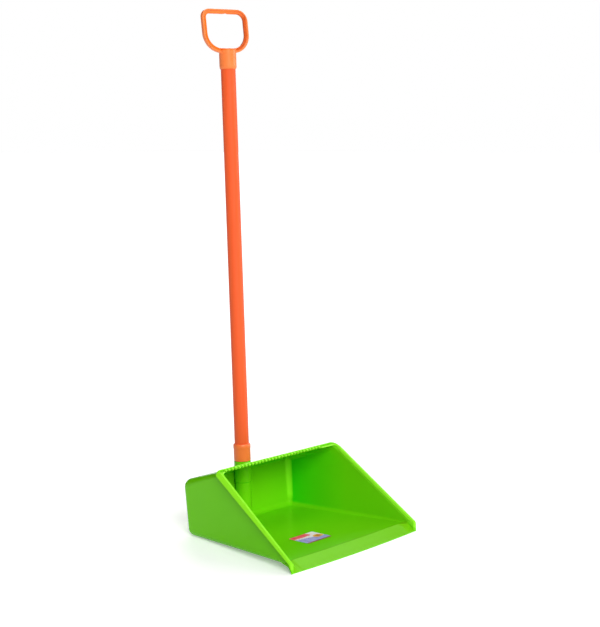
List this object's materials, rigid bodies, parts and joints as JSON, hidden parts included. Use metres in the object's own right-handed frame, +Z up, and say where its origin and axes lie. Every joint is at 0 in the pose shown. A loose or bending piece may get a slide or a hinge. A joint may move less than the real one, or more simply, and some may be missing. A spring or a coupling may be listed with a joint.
{
  "type": "long-handled dustpan",
  "caption": "Upright hooded dustpan with a sloped ramp lip, comb-edged hood, rear pole socket, screw-in pole and D-shaped grip.",
  "frame": {"origin": "on the ground, below the middle of the bounding box", "axes": "+X to the pan's right seen from behind the lip, +Y from the lip towards the heel and pole, +Z up"},
  "size_m": [0.2766, 0.2806, 0.7757],
  "materials": {
    "pan_plastic": "glossy injection-moulded polypropylene, lime green",
    "label_paper": "gloss printed sticker with coloured blocks, no lettering",
    "fitting_plastic": "satin light orange",
    "sleeve_plastic": "satin red-orange plastic sleeve",
    "tube_steel": "plain welded steel tube, hidden in use"
  },
  "bodies": {
    "pan_body": {"pan": "pan_plastic", "floor_label": "label_paper"},
    "ferrule_body": {"ferrule": "fitting_plastic"},
    "handle_body": {"pole_tube": "tube_steel", "pole_sleeve": "sleeve_plastic", "grip": "fitting_plastic"}
  },
  "joints": [
    {"name": "handle_rise", "type": "slide", "parent": "pan_body", "child": "ferrule_body", "axis": [0, 0.0429, 0.9991], "range_m": [0, 0.028]},
    {"name": "handle_turn", "type": "hinge", "parent": "ferrule_body", "child": "handle_body", "pos_m": [0, 0.09624, 0.09436], "axis": [0, 0.0429, 0.9991], "range_deg": [0, 2520]}
  ],
  "couplings": [
    {"joint": "handle_turn", "follows": "handle_rise", "rad_per_m": 1570.8}
  ]
}
